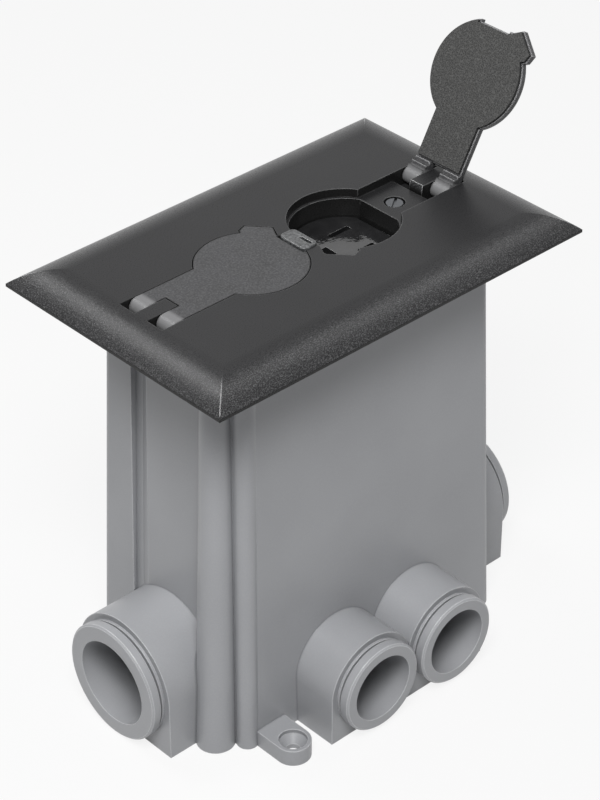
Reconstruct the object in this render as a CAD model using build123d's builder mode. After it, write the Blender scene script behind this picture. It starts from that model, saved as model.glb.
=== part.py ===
from build123d import *
from math import cos, radians, sin
import os

os.makedirs("parts", exist_ok=True)

# Heights, from the underside of the box
plate_base_z = 145.5
plate_height = 6.8
plate_top_z = plate_base_z + plate_height
gasket_seal = 1.0
rim_z = plate_base_z - gasket_seal
base_thickness = 3.0

# Receptacle body and the strap screws beyond its ends, which everything else is sized round
device_half_length = 32.5
device_half_width = 16.5
screw_x = device_half_length + 9.15
strap_half_length = screw_x + 6.35

# Leveling frame and the posts under its corners
frame_fit = 0.3
frame_thickness = 3.2
frame_window_x = screw_x - 3.45
frame_window_y = device_half_width + 2.0
post_radius = 5.0
post_web = 12.0
post_x = frame_window_x + 6.3
post_y = frame_window_y + 6.0
frame_half_length = post_x + 4.5
frame_half_width = post_y + 4.4

# Box, wider at its base than at its mouth
box_lean = 4.2
box_corner = 3.5
box_wall = 3.0
inner_corner = 1.2
box_half_length = frame_half_length + frame_fit + box_wall + box_lean
box_half_width = frame_half_width + frame_fit + box_wall + box_lean
bead_radius = 3.7
bead_proud = 0.35
column_x = -box_half_length - 3.6
column_y = 10.9 - box_half_width
column_radius = 6.5
column_draft = 1.5
column_tuck = 3.0
groove_edge_y = box_half_width - 17.2
groove_width = 7.5
groove_depth = 2.3
groove_fullest_z = 118.0
groove_backing = 1.9

# Cover plate, and how far it stands out past the box's base
end_overhang = 19.7
side_overhang = 12.8
plate_length = 2 * (box_half_length + end_overhang)
plate_width = 2 * (box_half_width + side_overhang)
plate_edge = 1.0
bevel_width = 14.0
hollow_inset = 4.2
hollow_top_z = 147.9
land_past_ends = 10.0
land_past_sides = 1.6
rib_thickness = 1.6
rib_pitch = 32.5

# Conduit hubs
side_hub_x = 16.9
side_hub_z = 17.3
side_hub_radius = 17.4
side_hub_face = box_half_width + 16.25
side_ring_length = 5.35
side_ring_radius = 15.8
side_bore = 11.8
side_sleeve = 17.0
end_hub_z = 20.8
end_hub_radius = 22.2
end_hub_face = box_half_length + 19.85
end_ring_length = 5.25
end_ring_radius = 20.55
end_bore = 14.85
end_sleeve = 21.0
sleeve_wall = 2.4
sleeve_clearance = 0.05
stop_lip = 1.3
stop_length = 2.5
lip_thickness = 0.9
lip_groove = 1.1

# Mounting ears
ear_x = 10.4 - box_half_length
ear_y = -box_half_width - 10.6
ear_radius = 6.0
ear_thickness = 6.0
ear_sink = 4.7
ear_sink_wall = 1.5
ear_hole = 2.4

# Duplex receptacle: outlet spacing, face outline and depth below the cover
outlet_x = 19.45
face_radius = 17.05
face_flat = 14.3
face_z = 142.8
well_radius = 17.4
well_flat = 15.2
collar_wall = 1.5
collar_foot_z = 141.8
slab_z = 140.2
strap_z = 136.8
strap_thickness = 1.3
post_top_z = strap_z - frame_thickness
back_z = 118.5
blade_y = 6.35
blade_x = 4.0
ground_x = -7.9
strap_ear_width = 20.0
strap_gap = 0.5
strap_half_width = 3.5
hot_slot = 6.6
neutral_slot = 8.6
slot_gap = 1.9
ground_radius = 2.5
ground_screw_at = (-device_half_length - 3.5, -6.4)
contact_z = 125.4
contact_sheet = 0.6
contact_play = 0.3
bus_width = 3.5
bus_overrun = 3.5
trough_width = 4.3
trough_overrun = 5.0
leaf_spread = 1.45
leaf_length = 7.0
leaf_height = 10.2
tab_y = device_half_width - 0.7
tab_length = 7.0
tab_height = 8.0
link_width = 6.0
link_length = 8.2
recess_width = 8.4
recess_length = 9.0
recess_overrun = 0.6
terminal_x = 9.0
terminal_z = contact_z + 4.2
terminal_radius = 1.6
terminal_shank = 4.5
terminal_head = 3.6
terminal_head_height = 1.9
terminal_slot_depth = 0.8
ground_sleeve_wall = 0.65
ground_sleeve_lift = 1.0
ground_pocket_gap = 0.95
ground_head = 3.2
ground_head_height = 1.7
ground_shank = 6.0
boss_radius = 4.0
boss_overlap = 1.0
screw_radius = 1.7
screw_gap = 0.2
thread_clearance = 0.05
head_radius = 2.8
head_height = 1.4
head_room = 0.7
head_sink = 0.3
cover_screw_length = 16.2
frame_screw_length = 10.0
pan_radius = 3.2
pan_height = 2.2
slot_width = 0.9
screw_slot_depth = 1.4
pan_slot_depth = 1.6
cover_slot_depth = 1.3
cover_slot_turn = 35.0

# Flip lids, measured from the hinge pin towards the tip
hinge_x = screw_x + 15.75
barrel_radius = 2.9
hinge_z = plate_top_z - barrel_radius
open_angle = 120.0
lid_centre = hinge_x - outlet_x
lid_radius = 17.9
lobe_start = 4.0
lobe_shoulder = (9.8, 16.6)
lobe_top = (12.8, 17.7)
lobe_nose = (18.7, 11.1)
lobe_heel = (16.4, 6.7)
arm_half_width = 9.5
arm_setback = 0.9
finger_inner = 3.1
finger_reach = 0.6
finger_undercut = 0.3
finger_step_ends = (4.9, 3.3)
finger_step_drops = (1.1, 2.1)
lid_thickness = 2.0
seal_thickness = 1.0
seal_heel = 0.6
seal_inset = 0.4
lid_gap = 0.3
tip_flat = 15.9
tip_half_width = 6.2
web_radius = 6.75
pocket_end = 6.2
pin_radius = 1.0
pin_recess = 0.2
pin_clearance = 0.05
catch_length = 11.7
catch_width = 6.4
catch_proud = 0.7
catch_seat_z = 150.0
catch_fit = 0.1
catch_corner = 1.9
catch_stem = 1.5
catch_stem_length = 3.4
catch_slot_at = (0.9, -2.2)
catch_slot_length = 5.2
catch_slot_width = 1.3
catch_slot_depth = 1.5
seat_clearance = 0.1
seat_z = hinge_z + barrel_radius - lid_thickness - seal_thickness - seat_clearance


def hinge_plane(side, angle):
    """Hinge frame: x runs from the pin to the lid tip and z out of the lid's top face."""
    turn = radians(angle)
    return Plane(
        origin=(side * hinge_x, 0, hinge_z),
        x_dir=(-side * cos(turn), 0, sin(turn)),
        z_dir=(side * sin(turn), 0, cos(turn)),
    )


left_closed = hinge_plane(-1, 0)
right_closed = hinge_plane(1, 0)
right_open = hinge_plane(1, open_angle)


def lid_outline(frame, height, grow, tail):
    """Lid shape seen from above: disc, thumb lobe, arm and a tip cut back for the catch."""
    with BuildSketch(frame.offset(height)) as outline:
        with Locations((lid_centre, 0)):
            Circle(lid_radius + grow)
        with BuildLine():
            Polyline(
                (lid_centre + lobe_start, lobe_start),
                (lid_centre + lobe_shoulder[0] - grow, lobe_shoulder[1] + grow),
                (lid_centre + lobe_top[0] + 0.4 * grow, lobe_top[1] + 1.2 * grow),
                (lid_centre + lobe_nose[0] + 1.3 * grow, lobe_nose[1] + 0.4 * grow),
                (lid_centre + lobe_heel[0] + grow, lobe_heel[1] - grow),
                close=True,
            )
        make_face()
        with Locations(((lid_centre + tail) / 2, 0)):
            Rectangle(lid_centre - tail, 2 * (arm_half_width + grow))
        with Locations((lid_centre + tip_flat + grow + lobe_start, 0)):
            Rectangle(2 * lobe_start, 2 * (tip_half_width - grow), mode=Mode.SUBTRACT)
    return outline.sketch


def side_profile(frame):
    """Plane across the hinge: x towards the lid tip, y out of the lid's top face."""
    return Plane(origin=frame.origin, x_dir=frame.x_dir, z_dir=frame.x_dir.cross(frame.z_dir))


def make_lid(frame):
    under = barrel_radius - lid_thickness
    finger_width = arm_half_width - finger_inner
    finger_mid = finger_inner + finger_width / 2
    with BuildPart() as lid:
        add(extrude(lid_outline(frame, under, 0, web_radius - arm_setback), lid_thickness))
        with BuildSketch(side_profile(frame)):
            Circle(web_radius)
        extrude(amount=finger_inner, both=True, mode=Mode.SUBTRACT)
        for centre in (finger_mid, -finger_mid):
            with BuildSketch(side_profile(frame).offset(centre)):
                Circle(barrel_radius)
                with BuildLine():
                    Polyline(
                        (0, barrel_radius),
                        (web_radius + finger_reach, barrel_radius),
                        (web_radius + finger_reach, under),
                        (web_radius - finger_undercut, under),
                        (web_radius - finger_undercut, 0),
                        (finger_step_ends[0], 0),
                        (finger_step_ends[0], -finger_step_drops[0]),
                        (finger_step_ends[1], -finger_step_drops[0]),
                        (finger_step_ends[1], -finger_step_drops[1]),
                        (0, -finger_step_drops[1]),
                        close=True,
                    )
                make_face()
            extrude(amount=finger_width / 2, both=True)
        with BuildSketch(side_profile(frame)):
            Circle(pin_radius + pin_clearance)
        extrude(amount=arm_half_width + 1, both=True, mode=Mode.SUBTRACT)
    return lid.part


def make_lid_seal(frame):
    seal_face = barrel_radius - lid_thickness - seal_thickness
    with BuildPart() as seal:
        add(extrude(lid_outline(frame, seal_face, -seal_inset, web_radius + seal_heel), seal_thickness))
    return seal.part


def make_recess(frame):
    """Everything the cover gives up for one lid, its fingers and the receptacle well."""
    with BuildPart() as recess:
        add(extrude(lid_outline(frame, seat_z - hinge_z, lid_gap, 0), plate_height))
        with BuildSketch(frame.offset(-barrel_radius - lid_gap)):
            with Locations(((web_radius + lid_gap - pocket_end) / 2, 0)):
                Rectangle(web_radius + lid_gap + pocket_end, 2 * (arm_half_width + lid_gap))
        extrude(amount=9)
        with BuildSketch(side_profile(frame)):
            Circle(web_radius - lid_gap)
            with Locations((-pocket_end, 0)):
                Rectangle(2 * pocket_end, 4 * barrel_radius)
            Rectangle(4 * web_radius, 2 * barrel_radius + 0.6, mode=Mode.INTERSECT)
        extrude(amount=finger_inner - lid_gap, both=True, mode=Mode.SUBTRACT)
        with BuildSketch(side_profile(frame)):
            Circle(pin_radius + pin_clearance / 2)
        extrude(amount=arm_half_width, both=True)
        with BuildSketch(frame.offset(-20)):
            with Locations((lid_centre, 0)):
                Circle(well_radius)
                Rectangle(2 * well_flat, 3 * well_radius, mode=Mode.INTERSECT)
        extrude(amount=21)
    return recess.part


# Space inside the box, less the corner posts that carry the leveling frame
with BuildPart() as box_hollow:
    for z, lean in ((base_thickness, box_lean * base_thickness / rim_z), (rim_z, box_lean)):
        with BuildSketch(Plane.XY.offset(z)):
            RectangleRounded(
                2 * (box_half_length - box_wall - lean),
                2 * (box_half_width - box_wall - lean),
                inner_corner,
            )
    loft()
    with BuildSketch(Plane.XY.offset(base_thickness)):
        with GridLocations(2 * post_x, 2 * post_y, 2, 2):
            Circle(post_radius)
        with GridLocations(2 * post_x + post_web, 2 * post_y + post_web, 2, 2):
            Rectangle(post_web, post_web)
    extrude(amount=post_top_z - base_thickness, mode=Mode.SUBTRACT)
    # thicker wall behind the groove of each end wall
    for turn in (1, -1):
        for z in (base_thickness, post_top_z - 2):
            with BuildSketch(Plane.XY.offset(z)):
                with Locations(
                    (
                        turn * (box_lean * z / rim_z + box_wall - box_half_length),
                        turn * (groove_edge_y - groove_width / 2),
                    )
                ):
                    Rectangle(2 * groove_backing, groove_width + 2)
        loft(mode=Mode.SUBTRACT)

# Box body: leaning walls, two screw columns, four conduit hubs and two ears
with BuildPart() as box_body:
    for z, lean in ((0, 0), (rim_z, box_lean)):
        with BuildSketch(Plane.XY.offset(z)):
            RectangleRounded(2 * (box_half_length - lean), 2 * (box_half_width - lean), box_corner)
    loft()
    # screw columns, each with a bead down the corner beside it
    bead_x = bead_radius - bead_proud - box_half_length
    bead_y = bead_radius - bead_proud - box_half_width
    for turn in (1, -1):
        for z, lean in ((0, 0), (rim_z, box_lean)):
            rise = z / rim_z
            with BuildSketch(Plane.XY.offset(z)):
                with Locations((turn * (column_x + lean + column_tuck * rise), turn * (column_y + lean))):
                    Circle(column_radius - column_draft * rise)
        loft()
        for z, lean in ((0, 0), (rim_z, box_lean)):
            with BuildSketch(Plane.XY.offset(z)):
                with Locations((turn * (bead_x + lean), turn * (bead_y + lean))):
                    Circle(bead_radius)
        loft()
    # groove beside the raised corner of each end wall, its foot under the end hub
    for turn in (1, -1):
        for z, share in ((end_hub_z, 0.5), (groove_fullest_z, 1.0), (rim_z + 1, 0.45)):
            face_x = box_lean * z / rim_z - box_half_length
            deep = groove_depth * share
            with BuildSketch(Plane.XY.offset(z)):
                with BuildLine():
                    Polyline(
                        (turn * (face_x + deep), turn * groove_edge_y),
                        (turn * (face_x - 1), turn * groove_edge_y),
                        (turn * (face_x - 1), turn * (groove_edge_y - groove_width)),
                        (turn * face_x, turn * (groove_edge_y - groove_width)),
                        (turn * (face_x + deep * 0.8), turn * (groove_edge_y - groove_width * 0.5)),
                        close=True,
                    )
                make_face()
        loft(ruled=True, mode=Mode.SUBTRACT)
    # side hubs
    with BuildSketch(Plane.XZ.offset(side_hub_face)):
        with Locations((-side_hub_x, side_hub_z), (side_hub_x, side_hub_z)):
            Circle(side_hub_radius)
        with Locations((-side_hub_x, side_hub_z / 2), (side_hub_x, side_hub_z / 2)):
            Rectangle(2 * side_hub_radius, side_hub_z)
        with Locations((0, side_hub_radius)):
            Rectangle(plate_length, 2 * side_hub_radius, mode=Mode.INTERSECT)
    extrude(amount=box_half_width - box_wall - side_hub_face + 2)
    # end hubs
    for side in (1, -1):
        with BuildSketch(Plane.YZ.offset(side * end_hub_face)):
            with Locations((0, end_hub_z)):
                Circle(end_hub_radius)
            with Locations((0, end_hub_z / 2)):
                Rectangle(2 * end_hub_radius, end_hub_z)
            with Locations((0, end_hub_radius)):
                Rectangle(3 * end_hub_radius, 2 * end_hub_radius, mode=Mode.INTERSECT)
        extrude(amount=-side * (end_hub_face - box_half_length + box_wall - 0.5))
    # mounting ears
    for turn in (1, -1):
        with BuildSketch():
            with Locations((turn * ear_x, turn * ear_y)):
                Circle(ear_radius)
            with Locations((turn * ear_x, turn * (ear_y + 6))):
                Rectangle(2 * ear_radius, 12)
        extrude(amount=ear_thickness)
    add(box_hollow.part, mode=Mode.SUBTRACT)
    # bores and holes
    with Locations(Plane.XZ):
        with Locations((-side_hub_x, side_hub_z, side_hub_face), (side_hub_x, side_hub_z, side_hub_face)):
            Cylinder(
                side_bore + sleeve_wall + sleeve_clearance,
                side_hub_face - box_half_width + box_wall + 1,
                align=(Align.CENTER, Align.CENTER, Align.MAX),
                mode=Mode.SUBTRACT,
            )
    with Locations(Plane.YZ):
        with Locations((0, end_hub_z)):
            Cylinder(end_bore + sleeve_wall + sleeve_clearance, 2 * end_hub_face, mode=Mode.SUBTRACT)
    with Locations((ear_x, ear_y, ear_thickness), (-ear_x, -ear_y, ear_thickness)):
        Hole(ear_sink, ear_sink_wall)
    with Locations(
        *[(turn * ear_x, turn * ear_y, ear_thickness - ear_sink_wall) for turn in (1, -1)]
    ):
        CounterSinkHole(ear_hole, ear_sink)
    with Locations(
        *[(px, py, post_top_z) for px in (-post_x, post_x) for py in (-post_y, post_y)]
    ):
        Hole(1.75, 14)


def make_bushing(mouth, ring_length, ring_radius, bore, sleeve_length):
    """Conduit bushing on the plane of the hub's face: ring outside, sleeve and stop lip inside."""
    sleeve = bore + sleeve_wall
    with BuildPart() as bushing:
        with BuildSketch(Plane(origin=mouth.origin, x_dir=mouth.x_dir, z_dir=mouth.x_dir.cross(mouth.z_dir))):
            with BuildLine():
                Polyline(
                    (bore, ring_length),
                    (ring_radius - 0.6, ring_length),
                    (ring_radius, ring_length - 0.6),
                    (ring_radius, lip_thickness + lip_groove),
                    (ring_radius - 2.2, lip_thickness + lip_groove),
                    (ring_radius - 2.2, lip_thickness),
                    (ring_radius - 0.5, lip_thickness),
                    (ring_radius - 0.5, 0),
                    (sleeve, 0),
                    (sleeve, -sleeve_length),
                    (bore - stop_lip, -sleeve_length),
                    (bore - stop_lip, stop_length - sleeve_length),
                    (bore, stop_length - sleeve_length),
                    close=True,
                )
            make_face()
        revolve(axis=Axis(mouth.origin, mouth.z_dir))
    return bushing.part


def side_bushing(side):
    mouth = Plane(origin=(side * side_hub_x, -side_hub_face, side_hub_z), x_dir=(1, 0, 0), z_dir=(0, -1, 0))
    return make_bushing(mouth, side_ring_length, side_ring_radius, side_bore, side_sleeve)


def end_bushing(side):
    mouth = Plane(origin=(side * end_hub_face, 0, end_hub_z), x_dir=(0, 1, 0), z_dir=(side, 0, 0))
    return make_bushing(mouth, end_ring_length, end_ring_radius, end_bore, end_sleeve)


# Leveling frame on the corner posts, open in the middle for the receptacle
with BuildPart() as leveling_frame:
    with BuildSketch(Plane.XY.offset(post_top_z)):
        RectangleRounded(2 * frame_half_length, 2 * frame_half_width, 2.5)
        RectangleRounded(2 * frame_window_x, 2 * frame_window_y, 2, mode=Mode.SUBTRACT)
        with GridLocations(2 * post_x, 2 * post_y, 2, 2):
            Circle(screw_radius + screw_gap, mode=Mode.SUBTRACT)
        with GridLocations(2 * screw_x, 0, 2, 1):
            Circle(screw_radius + thread_clearance, mode=Mode.SUBTRACT)
    extrude(amount=frame_thickness)
    fillet(leveling_frame.edges().filter_by(GeomType.LINE).group_by(Axis.Z)[-1], 0.4)

# Pan head screws that hold the frame to the posts
with BuildPart() as frame_screws:
    with GridLocations(2 * post_x, 2 * post_y, 2, 2):
        with Locations((0, 0, strap_z)):
            Cylinder(screw_radius, frame_screw_length, align=(Align.CENTER, Align.CENTER, Align.MAX))
            Cylinder(pan_radius, pan_height, align=(Align.CENTER, Align.CENTER, Align.MIN))
            with Locations((0, 0, pan_height)):
                Box(2.2 * pan_radius, slot_width, pan_slot_depth, mode=Mode.SUBTRACT)

# Seal between the rim of the box and the cover
with BuildPart() as cover_gasket:
    with BuildSketch(Plane.XY.offset(rim_z)):
        RectangleRounded(2 * (box_half_length - box_lean), 2 * (box_half_width - box_lean), box_corner)
        RectangleRounded(
            2 * (box_half_length - box_lean - box_wall),
            2 * (box_half_width - box_lean - box_wall),
            inner_corner,
            mode=Mode.SUBTRACT,
        )
    extrude(amount=gasket_seal)

# Cover plate: rounded bevels that meet in mitred corners, two lid recesses, wells and bosses
with BuildPart() as cover_plate:
    for frame, half, run in (
        (Plane.XZ.offset(-plate_width / 2), plate_length / 2, plate_width),
        (Plane.YZ.offset(-plate_length / 2), plate_width / 2, plate_length),
    ):
        with BuildSketch(frame):
            with BuildLine():
                edge_z = plate_base_z + plate_edge
                Polyline((-half, edge_z), (-half, plate_base_z), (half, plate_base_z), (half, edge_z))
                TangentArc((half - bevel_width, plate_top_z), (half, edge_z), tangent=(1, 0))
                TangentArc((bevel_width - half, plate_top_z), (-half, edge_z), tangent=(-1, 0))
                Line((half - bevel_width, plate_top_z), (bevel_width - half, plate_top_z))
            make_face()
        extrude(amount=run, mode=Mode.ADD if half > run / 2 else Mode.INTERSECT)
    # hollow margin under the bevels, with stiffening ribs
    with BuildSketch(Plane.XY.offset(plate_base_z)):
        Rectangle(plate_length - 2 * hollow_inset, plate_width - 2 * hollow_inset)
        Rectangle(
            2 * (box_half_length + land_past_ends),
            2 * (box_half_width + land_past_sides),
            mode=Mode.SUBTRACT,
        )
        with GridLocations(rib_pitch, 0, 5, 1):
            Rectangle(rib_thickness, plate_width, mode=Mode.SUBTRACT)
        with GridLocations(0, rib_pitch, 1, 3):
            Rectangle(plate_length, rib_thickness, mode=Mode.SUBTRACT)
    extrude(amount=hollow_top_z - plate_base_z, mode=Mode.SUBTRACT)
    # collars round the outlets
    with BuildSketch(Plane.XY.offset(collar_foot_z)):
        with GridLocations(2 * outlet_x, 0, 2, 1):
            Circle(well_radius + collar_wall)
        with BuildSketch(mode=Mode.INTERSECT):
            with GridLocations(2 * outlet_x, 0, 2, 1):
                Rectangle(2 * (well_flat + collar_wall), 3 * well_radius)
    extrude(amount=plate_base_z + boss_overlap - collar_foot_z)
    # screw bosses down to the mounting strap
    with BuildSketch(Plane.XY.offset(strap_z + strap_thickness)):
        with GridLocations(2 * screw_x, 0, 2, 1):
            Circle(boss_radius)
    extrude(amount=plate_base_z + boss_overlap - strap_z - strap_thickness)
    add(make_recess(left_closed), mode=Mode.SUBTRACT)
    add(make_recess(right_closed), mode=Mode.SUBTRACT)
    # seat of the catch between the two lids
    with Locations((0, 0, catch_seat_z)):
        Box(
            2 * (outlet_x - tip_flat - lid_gap),
            catch_length + 2 * catch_fit,
            plate_height,
            align=(Align.CENTER, Align.CENTER, Align.MIN),
            mode=Mode.SUBTRACT,
        )
        Hole(catch_stem + thread_clearance, catch_stem_length + 0.2)
    with Locations((-screw_x, 0, seat_z), (screw_x, 0, seat_z)):
        CounterBoreHole(screw_radius + screw_gap, head_radius + head_room, head_height + head_sink)

# Slotted screws through the cover and the strap into the frame
with BuildPart() as cover_screws:
    with GridLocations(2 * screw_x, 0, 2, 1):
        with Locations((0, 0, seat_z - head_height - head_sink)):
            Cylinder(screw_radius, cover_screw_length, align=(Align.CENTER, Align.CENTER, Align.MAX))
            Cylinder(head_radius, head_height, align=(Align.CENTER, Align.CENTER, Align.MIN))
            with Locations((0, 0, head_height)):
                Box(
                    2.5 * head_radius,
                    slot_width,
                    cover_slot_depth,
                    rotation=(0, 0, cover_slot_turn),
                    mode=Mode.SUBTRACT,
                )

# Catch block with a fingernail slot, on a stem pressed into the cover
with BuildPart() as lid_catch:
    with BuildSketch(Plane.XY.offset(catch_seat_z)):
        RectangleRounded(catch_width, catch_length, catch_corner)
    extrude(amount=plate_top_z + catch_proud - catch_seat_z)
    fillet(lid_catch.faces().sort_by(Axis.Z)[-1].edges(), 0.5)
    with BuildSketch(Plane.XY.offset(plate_top_z + catch_proud)):
        with Locations(catch_slot_at):
            SlotOverall(catch_slot_length, catch_slot_width, rotation=90)
    extrude(amount=-catch_slot_depth, mode=Mode.SUBTRACT)
    with Locations((0, 0, catch_seat_z)):
        Cylinder(catch_stem, catch_stem_length, align=(Align.CENTER, Align.CENTER, Align.MAX))


def make_pin(side):
    half_pin = arm_half_width - pin_recess
    with BuildPart() as pin:
        with BuildSketch(Plane(origin=(side * hinge_x, half_pin, hinge_z), z_dir=(0, -1, 0))):
            Circle(pin_radius)
        extrude(amount=2 * half_pin)
    return pin.part


# Mounting strap, narrow between the outlets' contacts
with BuildPart() as mounting_strap:
    with BuildSketch(Plane.XY.offset(strap_z)):
        Rectangle(2 * strap_half_length, strap_half_width * 2)
        with GridLocations(strap_half_length + device_half_length + strap_gap, 0, 2, 1):
            Rectangle(strap_half_length - device_half_length - strap_gap, strap_ear_width)
        with GridLocations(2 * screw_x, 0, 2, 1):
            Circle(screw_radius + 0.3, mode=Mode.SUBTRACT)
        with Locations((-outlet_x + ground_x, 0), (outlet_x + ground_x, 0)):
            Circle(ground_radius + thread_clearance, mode=Mode.SUBTRACT)
        with Locations(ground_screw_at):
            Circle(terminal_radius + thread_clearance, mode=Mode.SUBTRACT)
    extrude(amount=strap_thickness)

# Receptacle front: slab with two outlet faces and their blade slots
with BuildPart() as receptacle_face:
    with BuildSketch(Plane.XY.offset(strap_z)):
        RectangleRounded(2 * device_half_length, 2 * device_half_width, 2)
    extrude(amount=slab_z - strap_z)
    for x in (-outlet_x, outlet_x):
        with BuildSketch(Plane.XY.offset(slab_z)):
            with Locations((x, 0)):
                Circle(face_radius)
                Rectangle(2 * face_flat, 3 * face_radius, mode=Mode.INTERSECT)
        extrude(amount=face_z - slab_z)
    fillet(receptacle_face.faces().sort_by(Axis.Z)[-2:].edges(), 0.4)
    with BuildSketch(Plane.XY.offset(strap_z)):
        Rectangle(3 * device_half_length, 2 * strap_half_width + 0.3)
    extrude(amount=strap_thickness, mode=Mode.SUBTRACT)
    with BuildSketch(Plane.XY.offset(strap_z)):
        for x in (-outlet_x, outlet_x):
            with Locations((x + blade_x, -blade_y)):
                Rectangle(hot_slot, slot_gap)
            with Locations((x + blade_x, blade_y)):
                Rectangle(neutral_slot, slot_gap)
            with Locations((x + ground_x, 0)):
                Circle(ground_radius)
            with Locations((x + ground_x + ground_radius / 2, 0)):
                Rectangle(ground_radius, 2 * ground_radius)
    extrude(amount=face_z - strap_z, mode=Mode.SUBTRACT)

# Receptacle back: moulded block with contact troughs, ground pockets and terminal recesses
with BuildPart() as receptacle_back:
    with BuildSketch(Plane.XY.offset(strap_z)):
        RectangleRounded(2 * device_half_length, 2 * device_half_width, 2)
    extrude(amount=back_z - strap_z)
    fillet(receptacle_back.faces().sort_by(Axis.Z)[0].edges(), 1.5)
    recess_y = device_half_width + recess_overrun - recess_length / 2
    with BuildSketch(Plane.XY.offset(contact_z - contact_play)):
        for side in (-1, 1):
            with Locations((blade_x, side * blade_y)):
                Rectangle(2 * (outlet_x + trough_overrun), trough_width)
            with Locations((-terminal_x, side * recess_y), (terminal_x, side * recess_y)):
                Rectangle(recess_width, recess_length)
        with Locations((-outlet_x + ground_x, 0), (outlet_x + ground_x, 0)):
            Circle(ground_radius + ground_pocket_gap)
    extrude(amount=strap_z - contact_z + contact_play, mode=Mode.SUBTRACT)


def make_contacts(side):
    """Bus strip with a pair of spring leaves under each blade slot and two screw tabs."""
    link_y = tab_y + contact_sheet / 2 - link_length / 2
    with BuildPart() as contacts:
        with BuildSketch(Plane.XY.offset(contact_z)):
            with Locations((blade_x, side * blade_y)):
                Rectangle(2 * (outlet_x + bus_overrun), bus_width)
            with Locations((-terminal_x, side * link_y), (terminal_x, side * link_y)):
                Rectangle(link_width, link_length)
        extrude(amount=contact_sheet)
        with BuildSketch(Plane.XY.offset(contact_z)):
            for x in (-outlet_x, outlet_x):
                for shift in (-leaf_spread, leaf_spread):
                    with Locations((x + blade_x, side * blade_y + shift)):
                        Rectangle(leaf_length, contact_sheet)
        extrude(amount=leaf_height)
        with BuildSketch(Plane.XY.offset(contact_z)):
            with Locations((-terminal_x, side * tab_y), (terminal_x, side * tab_y)):
                Rectangle(tab_length, contact_sheet)
        extrude(amount=tab_height)
        with BuildSketch(Plane.XZ):
            with GridLocations(2 * terminal_x, 0, 2, 1):
                with Locations((0, terminal_z)):
                    Circle(terminal_radius + thread_clearance)
        extrude(amount=2 * device_half_width, both=True, mode=Mode.SUBTRACT)
    return contacts.part


def make_terminals(side):
    face = Plane(
        origin=(0, side * (tab_y + contact_sheet / 2), terminal_z), x_dir=(1, 0, 0), z_dir=(0, side, 0)
    )
    with BuildPart() as terminals:
        with BuildSketch(face):
            with GridLocations(2 * terminal_x, 0, 2, 1):
                Circle(terminal_head)
        extrude(amount=terminal_head_height)
        with BuildSketch(face):
            with GridLocations(2 * terminal_x, 0, 2, 1):
                Circle(terminal_radius)
        extrude(amount=-terminal_shank)
        with BuildSketch(face.offset(terminal_head_height)):
            with GridLocations(2 * terminal_x, 0, 2, 1):
                Rectangle(2.2 * terminal_head, slot_width)
        extrude(amount=-terminal_slot_depth, mode=Mode.SUBTRACT)
    return terminals.part


# Ground sleeves under the strap and the ground screw beside them
with BuildPart() as ground_contacts:
    with BuildSketch(Plane.XY.offset(contact_z + ground_sleeve_lift)):
        with Locations((-outlet_x + ground_x, 0), (outlet_x + ground_x, 0)):
            Circle(ground_radius + ground_sleeve_wall)
            Circle(ground_radius, mode=Mode.SUBTRACT)
    extrude(amount=strap_z - contact_z - ground_sleeve_lift)

with BuildPart() as ground_terminal_screw:
    with Locations((*ground_screw_at, strap_z + strap_thickness)):
        Cylinder(ground_head, ground_head_height, align=(Align.CENTER, Align.CENTER, Align.MIN))
        Cylinder(terminal_radius, ground_shank, align=(Align.CENTER, Align.CENTER, Align.MAX))
        with Locations((0, 0, ground_head_height)):
            Box(2.5 * ground_head, slot_width, screw_slot_depth, mode=Mode.SUBTRACT)

parts = {
    "box_body": box_body.part,
    "side_hub_bushing_left": side_bushing(-1),
    "side_hub_bushing_right": side_bushing(1),
    "end_hub_bushing_left": end_bushing(-1),
    "end_hub_bushing_right": end_bushing(1),
    "leveling_frame": leveling_frame.part,
    "frame_screws": frame_screws.part,
    "cover_gasket": cover_gasket.part,
    "cover_plate": cover_plate.part,
    "cover_screws": cover_screws.part,
    "lid_catch": lid_catch.part,
    "hinge_pin_left": make_pin(-1),
    "hinge_pin_right": make_pin(1),
    "left_lid": make_lid(left_closed),
    "left_lid_seal": make_lid_seal(left_closed),
    "right_lid": make_lid(right_open),
    "right_lid_seal": make_lid_seal(right_open),
    "mounting_strap": mounting_strap.part,
    "receptacle_face": receptacle_face.part,
    "receptacle_back": receptacle_back.part,
    "hot_contacts": make_contacts(-1),
    "neutral_contacts": make_contacts(1),
    "ground_contacts": ground_contacts.part,
    "brass_terminal_screws": make_terminals(-1),
    "silver_terminal_screws": make_terminals(1),
    "ground_terminal_screw": ground_terminal_screw.part,
}
for name, part in parts.items():
    part.label = name
    export_step(part, f"parts/{name}.step")
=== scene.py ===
import math

import bpy
from mathutils import Matrix, Vector

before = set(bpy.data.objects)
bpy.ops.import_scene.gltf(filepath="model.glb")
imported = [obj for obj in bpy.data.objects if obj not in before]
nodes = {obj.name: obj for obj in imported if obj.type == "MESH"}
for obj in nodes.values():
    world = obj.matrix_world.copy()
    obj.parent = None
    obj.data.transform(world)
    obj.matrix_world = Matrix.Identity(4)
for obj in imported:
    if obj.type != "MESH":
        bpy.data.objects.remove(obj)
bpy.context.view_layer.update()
print("frame loaded:", len(nodes), "nodes")

perMetre = 1000  # grain, drift, edge, depth and cell are in millimetres, the scene is in metres
white = (1, 1, 1, 1)


# colours are written as sRGB hex and handed to the shaders as linear light
def linear(hexColour):
    parts = [int(hexColour[i:i + 2], 16) / 255 for i in (1, 3, 5)]
    return tuple(c / 12.92 if c <= 0.04045 else ((c + 0.055) / 1.055) ** 2.4 for c in parts) + (1.0,)


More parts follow.
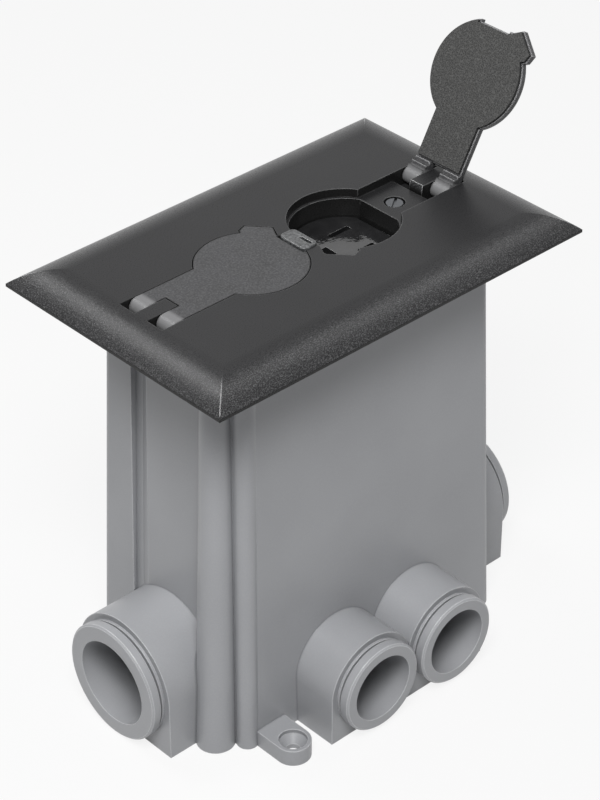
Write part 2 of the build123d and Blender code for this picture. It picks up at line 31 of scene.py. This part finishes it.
# adds one node; settings go to its properties, inputs take a value or another node's socket
def addNode(tree, kind, settings=None, **inputs):
    node = tree.nodes.new(kind)
    for key, value in (settings or {}).items():
        setattr(node, key, value)
    for key, value in inputs.items():
        socket = node.inputs[int(key[1:])] if key[0] == "_" else node.inputs[key.replace("_", " ")]
        if isinstance(value, bpy.types.NodeSocket):
            tree.links.new(value, socket)
        else:
            socket.default_value = value
    return node


# a value taken from the span source to the span target, and held at their ends
def mapRange(tree, value, source, target):
    return addNode(
        tree, "ShaderNodeMapRange", Value=value,
        From_Min=source[0], From_Max=source[1], To_Min=target[0], To_Max=target[1],
    ).outputs[0]


def calculate(tree, operation, first, second):
    return addNode(tree, "ShaderNodeMath", {"operation": operation}, _0=first, _1=second).outputs[0]


def calculateVector(tree, operation, first, second=(0, 0, 0)):
    return addNode(tree, "ShaderNodeVectorMath", {"operation": operation}, _0=first, _1=second).outputs


# one colour laid over another, by a share from 0 to 1
def layOver(tree, share, below, hexColour):
    return addNode(
        tree, "ShaderNodeMix", {"data_type": "RGBA"}, _0=share, _6=below, _7=linear(hexColour),
    ).outputs[2]


# a ramp from the dark tone of a material to its light one
def twoTones(tree, factor, spec, span):
    ramp = addNode(tree, "ShaderNodeValToRGB", Fac=factor)
    for stop, position, tone in zip(ramp.color_ramp.elements, span, ("dark", "light")):
        stop.position = position
        stop.color = linear(spec[tone])
    return ramp.outputs["Color"]


def newMaterial(name):
    material = bpy.data.materials.new(name)
    material.use_nodes = True
    material.node_tree.nodes.clear()
    return material, material.node_tree


def finishWith(tree, shader):
    addNode(tree, "ShaderNodeOutputMaterial", Surface=shader.outputs[0])


noiseMiddle = (0.3, 0.7)  # most values of a noise lie in this span
streakMiddle = (0.25, 0.75)
edgeSamples = 4  # of the rounded normal and of the openness

# rise of the surface normal at which walls turn into slopes, and slopes into level tops
slope = {"wall": (0.1, 0.3), "flat": (0.93, 0.998)}

# where painted shade and painted highlight set in: by how open the spot lies, by the cosine between the
# rounded and the flat normal, and the metres over which each kind fades in
paintedLightLimits = {
    "creaseOpenness": (0.85, 0.4), "creaseShare": 0.8, "outerOpenness": (0.75, 0.95),
    "edgeTurn": (0.985, 0.93), "heightFade": 0.0006, "sideFade": 0.002, "knuckleFade": 0.0009,
}


# 1 on slopes, and only calm on walls and level tops
def slopesOnly(tree, rise, calm):
    ramp = addNode(tree, "ShaderNodeValToRGB", Fac=rise)
    elements = ramp.color_ramp.elements
    stops = zip(slope["wall"] + slope["flat"], (calm, 1.0, 1.0, calm))
    for step, (position, amount) in enumerate(stops):
        stop = elements[step] if step < 2 else elements.new(position)
        stop.position = position
        stop.color = (amount, amount, amount, 1)
    return ramp.outputs["Color"]


# sharp outer edges are painted bright, a painted highlight along them; with rim they are painted dark
# below the height arrisAbove, as a painted shadow line round lids and plate
def paintedEdgeLight(tree, spec, colour, place, rounded, openness, strength):
    outer = mapRange(tree, openness, paintedLightLimits["outerOpenness"], (0.0, 1.0))
    flatNormal = addNode(tree, "ShaderNodeNewGeometry").outputs["True Normal"]
    turned = calculateVector(tree, "DOT_PRODUCT", rounded, flatNormal)["Value"]
    edgeNearness = mapRange(tree, turned, paintedLightLimits["edgeTurn"], (0.0, 1.0))
    bright = calculate(tree, "MULTIPLY", edgeNearness, outer)
    spot = addNode(tree, "ShaderNodeSeparateXYZ", Vector=place).outputs
    if "arrisFrom" in spec:
        # painted edge highlights where the grain is calm show only on the open lid's side, and by
        # arrisShare
        start = spec["arrisFrom"]
        fadeIn = (start, start + paintedLightLimits["sideFade"])
        openSide = mapRange(tree, spot["X"], fadeIn, (0.0, spec["arrisShare"]))
        kept = calculate(tree, "MAXIMUM", openSide, strength)
        bright = calculate(tree, "MULTIPLY", bright, kept)
    if "arrisAbove" in spec:
        start = spec["arrisAbove"]
        raised = mapRange(tree, spot["Z"], (start, start + paintedLightLimits["heightFade"]), (0.0, 1.0))
        bright = calculate(tree, "MULTIPLY", bright, raised)
    colour = layOver(tree, bright, colour, spec["arris"])
    if "rim" in spec:
        low = calculate(tree, "SUBTRACT", 1.0, raised)
        colour = layOver(tree, calculate(tree, "MULTIPLY", edgeNearness, low), colour, spec["rim"])
    return colour


# moulded plastic: grain off the mould, slow drift in tone, edges rounded by the tool; a dictionary
# may add walls, calm, crease, arris, rim and knuckle, each explained at its place
def mouldedPlastic(name, spec):
    material, tree = newMaterial(name)
    coordinates = addNode(tree, "ShaderNodeTexCoord").outputs
    place = coordinates["Object"]
    grain = addNode(
        tree, "ShaderNodeTexNoise", Vector=place, Scale=perMetre / spec["grain"],
        Detail=3.0, Roughness=0.6,
    ).outputs["Fac"]
    drift = addNode(
        tree, "ShaderNodeTexNoise", Vector=place, Scale=perMetre / spec["drift"], Detail=2.0,
    ).outputs["Fac"]
    colour = twoTones(tree, drift, spec, noiseMiddle)
    strength = 1.0  # of the grain
    if "walls" in spec or "calm" in spec:
        normal = addNode(tree, "ShaderNodeSeparateXYZ", Vector=coordinates["Normal"]).outputs
    if "walls" in spec:
        # upright walls and wells are painted darker, a painted shade as down in the deep wells, and
        # without grain
        upright = mapRange(tree, normal["Z"], slope["wall"], (1.0, 0.0))
        colour = layOver(tree, upright, colour, spec["walls"])
    if "calm" in spec:
        # the level top is only lightly textured, the slopes carry the full grain; the pale flecks there
        # are partly painted sparkle
        strength = slopesOnly(tree, normal["Z"], spec["calm"])
    flecks = mapRange(tree, grain, spec["sparse"], (0.0, spec["speckle"]))
    colour = layOver(tree, calculate(tree, "MULTIPLY", flecks, strength), colour, spec["fleck"])
    rounded = addNode(
        tree, "ShaderNodeBevel", {"samples": edgeSamples}, Radius=spec["edge"] / perMetre,
    ).outputs[0]
    if "crease" in spec or "arris" in spec:
        # how open a spot lies to its own piece: 1 on outer edges, less in inner corners
        openness = addNode(
            tree, "ShaderNodeAmbientOcclusion", {"samples": edgeSamples, "only_local": True},
            Distance=spec["edge"] * 2 / perMetre,
        ).outputs["AO"]
    if "crease" in spec:
        # inner corners are painted darker, a painted shade where the corners lie in shadow
        corner = mapRange(tree, openness, paintedLightLimits["creaseOpenness"], (0.0, paintedLightLimits["creaseShare"]))
        colour = layOver(tree, corner, colour, spec["crease"])
    if "arris" in spec:
        colour = paintedEdgeLight(tree, spec, colour, place, rounded, openness, strength)
    if "knuckle" in spec:
        # the hinge knuckles round the pin are painted paler, a painted highlight, on both lids alike
        mirrored = calculateVector(tree, "ABSOLUTE", place)[0]
        across = calculateVector(tree, "MULTIPLY", mirrored, (1, 0, 1))[0]
        fromPin = calculateVector(tree, "DISTANCE", across, spec["pin"])["Value"]
        reach = spec["knuckleReach"]
        knuckleHighlight = mapRange(tree, fromPin, (reach, reach - paintedLightLimits["knuckleFade"]), (0.0, 1.0))
        colour = layOver(tree, knuckleHighlight, colour, spec["knuckle"])
    bump = addNode(
        tree, "ShaderNodeBump", Height=grain, Normal=rounded,
        Strength=strength, Distance=spec["depth"] / perMetre,
    )
    finishWith(tree, addNode(
        tree, "ShaderNodeBsdfPrincipled", Base_Color=colour,
        Roughness=mapRange(tree, grain, noiseMiddle, spec["rough"]), Normal=bump.outputs[0],
        IOR=spec["ior"], Specular_IOR_Level=spec["shine"],
    ))
    return material


# sheet and wire metal: drawn or plated streaks along one axis
def drawnMetal(name, spec):
    material, tree = newMaterial(name)
    place = addNode(tree, "ShaderNodeTexCoord").outputs["Object"]
    stretch = addNode(tree, "ShaderNodeMapping", Vector=place, Scale=spec["stretch"])
    streak = addNode(
        tree, "ShaderNodeTexNoise", Vector=stretch.outputs[0], Scale=perMetre / spec["grain"],
        Detail=4.0, Roughness=0.65,
    ).outputs["Fac"]
    rounded = addNode(tree, "ShaderNodeBevel", {"samples": edgeSamples}, Radius=spec["edge"] / perMetre)
    bump = addNode(
        tree, "ShaderNodeBump", Height=streak, Normal=rounded.outputs[0],
        Strength=1.0, Distance=spec["depth"] / perMetre,
    )
    finishWith(tree, addNode(
        tree, "ShaderNodeBsdfPrincipled", Metallic=1.0, Normal=bump.outputs[0],
        Base_Color=twoTones(tree, streak, spec, streakMiddle),
        Roughness=mapRange(tree, streak, noiseMiddle, spec["rough"]),
    ))
    return material


# closed-cell foam rubber: packed bubbles cut open at the surface, dull and speckled
def foamRubber(name, spec):
    material, tree = newMaterial(name)
    coordinates = addNode(tree, "ShaderNodeTexCoord").outputs
    cells = addNode(
        tree, "ShaderNodeTexVoronoi", Vector=coordinates["Object"], Scale=perMetre / spec["cell"],
    ).outputs["Distance"]
    normal = addNode(tree, "ShaderNodeSeparateXYZ", Vector=coordinates["Normal"]).outputs
    # the sides facing ±Y are painted near black, a painted shade as in the narrow gaps round lids and
    # plate
    sideways = addNode(tree, "ShaderNodeMath", {"operation": "ABSOLUTE"}, _0=normal["Y"]).outputs[0]
    cut = mapRange(tree, sideways, spec["sideways"], (0.0, 1.0))
    colour = layOver(tree, cut, twoTones(tree, cells, spec, (0.0, 1.0)), spec["cut"])
    bump = addNode(
        tree, "ShaderNodeBump", Height=cells, Strength=1.0, Distance=spec["depth"] / perMetre,
    )
    finishWith(tree, addNode(
        tree, "ShaderNodeBsdfPrincipled", Base_Color=colour,
        Roughness=spec["rough"], Normal=bump.outputs[0],
    ))
    return material


# grey rigid PVC, injection moulded: satin, almost even, with painted shade in its inner corners and a
# painted highlight on its edges; its grain is drawn at 0.5 mm, coarser than the real one, so it shows
boxPvc = mouldedPlastic("greyPvcSatin", {
    "dark": "#909194", "light": "#97989b", "fleck": "#a8a9ab", "speckle": 0.15, "sparse": (0.42, 0.68),
    "grain": 0.5, "depth": 0.006, "drift": 38, "rough": (0.30, 0.40), "edge": 0.5,
    "ior": 1.53, "shine": 0.5, "crease": "#66676a", "arris": "#cbccce",
})
# the same PVC on the bushings, which are moulded apart and come out a touch smoother and paler,
# with the same painted shade in inner corners and painted highlight on edges
bushingPvc = mouldedPlastic("greyPvcSmooth", {
    "dark": "#949598", "light": "#9a9b9e", "fleck": "#a9aaac", "speckle": 0.12, "sparse": (0.42, 0.68),
    "grain": 0.5, "depth": 0.005, "drift": 22, "rough": (0.28, 0.38), "edge": 0.4,
    "ior": 1.53, "shine": 0.5, "crease": "#66676a", "arris": "#cbccce",
})
# black impact plastic with a spark-eroded grain that sparkles on the bevels, its pale flecks there
# partly painted sparkle; the grain is drawn at
# 0.36 mm, coarser than the real one, so it shows; walls are painted shade, arris a painted highlight
# and rim a painted shadow line; arrisAbove and arrisFrom are metres
coverPlastic = mouldedPlastic("blackGrainedCover", {
    "dark": "#202021", "light": "#252526", "fleck": "#6a6a6b", "speckle": 0.85, "sparse": (0.50, 0.72),
    "grain": 0.36, "depth": 0.05, "drift": 45, "rough": (0.24, 0.36), "edge": 0.45,
    "ior": 1.5, "shine": 0.2, "calm": 0.05, "walls": "#191919", "rim": "#060606",
    "arris": "#d0d0d1", "arrisAbove": 0.1468, "arrisFrom": 0.004, "arrisShare": 0.2,
})
# the same plastic on the lids, greyer and with a wider leather grain, drawn at 0.6 mm so it shows; its
# arris and knuckle tones are painted highlights and its rim a painted shadow line; arrisAbove,
# knuckleReach and pin are metres
lidPlastic = mouldedPlastic("blackGrainedLid", {
    "dark": "#323233", "light": "#38383a", "fleck": "#5c5c5d", "speckle": 0.65, "sparse": (0.42, 0.68),
    "grain": 0.6, "depth": 0.05, "drift": 9, "rough": (0.32, 0.46), "edge": 0.7,
    "ior": 1.5, "shine": 0.24, "arris": "#9c9c9d", "arrisAbove": 0.1535, "rim": "#0c0c0c",
    "knuckle": "#717172", "knuckleReach": 0.0041, "pin": (0.0574, 0, 0.1494),
})
# grey nylon of the catch, mottled, with a painted highlight along its edges; the mottling is drawn at
# 0.9 mm, coarser than the real one, so it shows
catchPlastic = mouldedPlastic("paleNylonCatch", {
    "dark": "#2b2c2d", "light": "#48494a", "fleck": "#7c7d7e", "speckle": 0.55, "sparse": (0.46, 0.68),
    "grain": 0.9, "depth": 0.03, "drift": 3, "rough": (0.22, 0.4), "edge": 0.35,
    "ior": 1.53, "shine": 0.5, "arris": "#b4b5b6",
})
# dark nylon of the receptacle, moulded against polished steel: glossy, in faint waves 4 mm wide
receptacleNylon = mouldedPlastic("blackNylonReceptacle", {
    "dark": "#171718", "light": "#1f1f20", "fleck": "#333334", "speckle": 0.2, "sparse": (0.42, 0.68),
    "grain": 4.0, "depth": 0.12, "drift": 9, "rough": (0.04, 0.12), "edge": 0.3,
    "ior": 1.53, "shine": 0.8,
})
# closed-cell foam under the plate and on the lids; the cells are drawn a little wide so they show
gasketFoam = foamRubber("blackCellFoam", {
    "cell": 0.5, "depth": 0.14, "dark": "#121212", "light": "#515150", "rough": 0.85,
    "cut": "#0b0b0b", "sideways": (0.1, 0.25),
})
# bright zinc plating on drawn steel; the streaks of all metals are drawn wider than real to show
zincSteel = drawnMetal("brightZincSteel", {
    "dark": "#a9abad", "light": "#c9cbcc", "grain": 1.2, "depth": 0.004, "stretch": (1, 6, 1),
    "rough": (0.25, 0.38), "edge": 0.15,
})
# the cover screws get a darker copy of the zinc, painted shade for their seat in the recessed holes, so
# only their rims catch the light
shadedZinc = drawnMetal("shadedZincSteel", {
    "dark": "#55575a", "light": "#76787b", "grain": 1.0, "depth": 0.004, "stretch": (1, 4, 1),
    "rough": (0.28, 0.4), "edge": 0.15,
})
# stamped brass strip
contactBrass = drawnMetal("stampedBrass", {
    "dark": "#b08d4c", "light": "#d2b06a", "grain": 1.0, "depth": 0.004, "stretch": (1, 8, 1),
    "rough": (0.28, 0.4), "edge": 0.15,
})
# zinc plating dyed green for the earth terminal
groundGreen = drawnMetal("greenDyedZinc", {
    "dark": "#2c6b3f", "light": "#3f8a55", "grain": 0.8, "depth": 0.004, "stretch": (1, 4, 1),
    "rough": (0.3, 0.42), "edge": 0.15,
})

dressedIn = {
    "box_body": boxPvc, "leveling_frame": boxPvc,
    "side_hub_bushing_left": bushingPvc, "side_hub_bushing_right": bushingPvc,
    "end_hub_bushing_left": bushingPvc, "end_hub_bushing_right": bushingPvc,
    "cover_plate": coverPlastic, "left_lid": lidPlastic, "right_lid": lidPlastic,
    "lid_catch": catchPlastic, "receptacle_face": receptacleNylon, "receptacle_back": receptacleNylon,
    "cover_gasket": gasketFoam, "left_lid_seal": gasketFoam, "right_lid_seal": gasketFoam,
    "frame_screws": zincSteel, "cover_screws": shadedZinc, "mounting_strap": zincSteel,
    "hinge_pin_left": zincSteel, "hinge_pin_right": zincSteel, "silver_terminal_screws": zincSteel,
    "hot_contacts": contactBrass, "neutral_contacts": contactBrass, "ground_contacts": contactBrass,
    "brass_terminal_screws": contactBrass, "ground_terminal_screw": groundGreen,
}
for name, material in dressedIn.items():
    mesh = nodes[name].data
    mesh.materials.clear()
    mesh.materials.append(material)
print("materials on:", len(dressedIn), "nodes")


# 1 where a ray from the camera, a gloss or a clear body meets the background, 0 for spread light
def seenBackground(tree):
    path = addNode(tree, "ShaderNodeLightPath").outputs
    inGloss = calculate(tree, "MAXIMUM", path["Is Glossy Ray"], path["Is Transmission Ray"])
    return calculate(tree, "MAXIMUM", path["Is Camera Ray"], inGloss)


# floor: pale and plain; the camera sees it nearly white, and the object's soft shadow still shows
def paleFloor(spec):
    material, tree = newMaterial("paleStudioFloor")
    share = calculate(tree, "MULTIPLY", seenBackground(tree), spec["whiteShare"])
    matt = addNode(tree, "ShaderNodeBsdfDiffuse", Color=linear(spec["matt"]))
    glow = addNode(tree, "ShaderNodeEmission", Color=white, Strength=1.0)
    finishWith(tree, addNode(
        tree, "ShaderNodeMixShader", _0=share, _1=matt.outputs[0], _2=glow.outputs[0],
    ))
    half = spec["size"] / 2
    mesh = bpy.data.meshes.new("studioFloor")
    corners = [(-half, -half, 0), (half, -half, 0), (half, half, 0), (-half, half, 0)]
    mesh.from_pydata(corners, [], [(0, 1, 2, 3)])
    mesh.materials.append(material)
    floor = bpy.data.objects.new("studioFloor", mesh)
    bpy.context.scene.collection.objects.link(floor)


paleFloor({"size": 8.0, "whiteShare": 0.86, "matt": "#cfcfcf"})


# world: even light from all round, white where the camera or a reflection looks past the floor
def studioWorld(spec):
    world = bpy.data.worlds.new("studioWorld")
    bpy.context.scene.world = world
    world.use_nodes = True
    tree = world.node_tree
    tree.nodes.clear()
    softLight = addNode(
        tree, "ShaderNodeBackground", Color=linear(spec["light"]), Strength=spec["strength"],
    )
    whiteBack = addNode(tree, "ShaderNodeBackground", Color=white, Strength=1.0)
    mixed = addNode(
        tree, "ShaderNodeMixShader", _0=seenBackground(tree),
        _1=softLight.outputs[0], _2=whiteBack.outputs[0],
    )
    addNode(tree, "ShaderNodeOutputWorld", Surface=mixed.outputs[0])


studioWorld({"light": "#f8f9fa", "strength": 0.08})
print("floor and world set")


# lamps: spot is where it hangs, aim is what it faces, both in metres
def softBox(name, spot, aim, size, watts):
    data = bpy.data.lights.new(name, "AREA")
    data.shape = "RECTANGLE"
    data.size, data.size_y = size
    data.energy = watts
    lamp = bpy.data.objects.new(name, data)
    bpy.context.scene.collection.objects.link(lamp)
    lamp.location = spot
    lamp.rotation_euler = (Vector(aim) - Vector(spot)).to_track_quat("-Z", "Y").to_euler()


softBox("keyBox", spot=(-0.46, -0.43, 0.99), aim=(0, 0, 0.08), size=(0.4, 0.4), watts=13.2)
softBox("crestBox", spot=(-0.2, 0.72, 1.05), aim=(0, 0, 0.15), size=(0.35, 0.3), watts=4.4)
softBox("edgeBox", spot=(0.66, -0.12, 1.1), aim=(0, 0, 0.15), size=(0.3, 0.3), watts=1.6)

# camera at the angle the photograph was taken from: angles in degrees, lens and sensor in
# millimetres, the rest in metres
viewpoint = {
    "azimuth": 42.93, "elevation": 34.89, "distance": 0.874, "aim": (0, 0, 0.070),
    "slide": -0.00046, "lift": 0.01822, "lens": 160.86, "sensor": 36, "nearest": 0.05,
}


def placeCamera(spec):
    turn, rise = math.radians(spec["azimuth"]), math.radians(spec["elevation"])
    back = Vector((-math.sin(turn) * math.cos(rise), -math.cos(turn) * math.cos(rise), math.sin(rise)))
    right = Vector((math.cos(turn), -math.sin(turn), 0))
    up = back.cross(right)
    spot = Vector(spec["aim"]) + back * spec["distance"] - right * spec["slide"] + up * spec["lift"]
    data = bpy.data.cameras.new("photoCamera")
    data.sensor_fit = "HORIZONTAL"
    data.sensor_width = spec["sensor"]
    data.lens = spec["lens"]
    data.clip_start = spec["nearest"]
    camera = bpy.data.objects.new("photoCamera", data)
    bpy.context.scene.collection.objects.link(camera)
    camera.matrix_world = Matrix((
        (right.x, up.x, back.x, spot.x),
        (right.y, up.y, back.y, spot.y),
        (right.z, up.z, back.z, spot.z),
        (0, 0, 0, 1),
    ))
    bpy.context.scene.camera = camera


placeCamera(viewpoint)
bpy.context.scene.view_settings.view_transform = "Standard"
print("camera and lamps set")
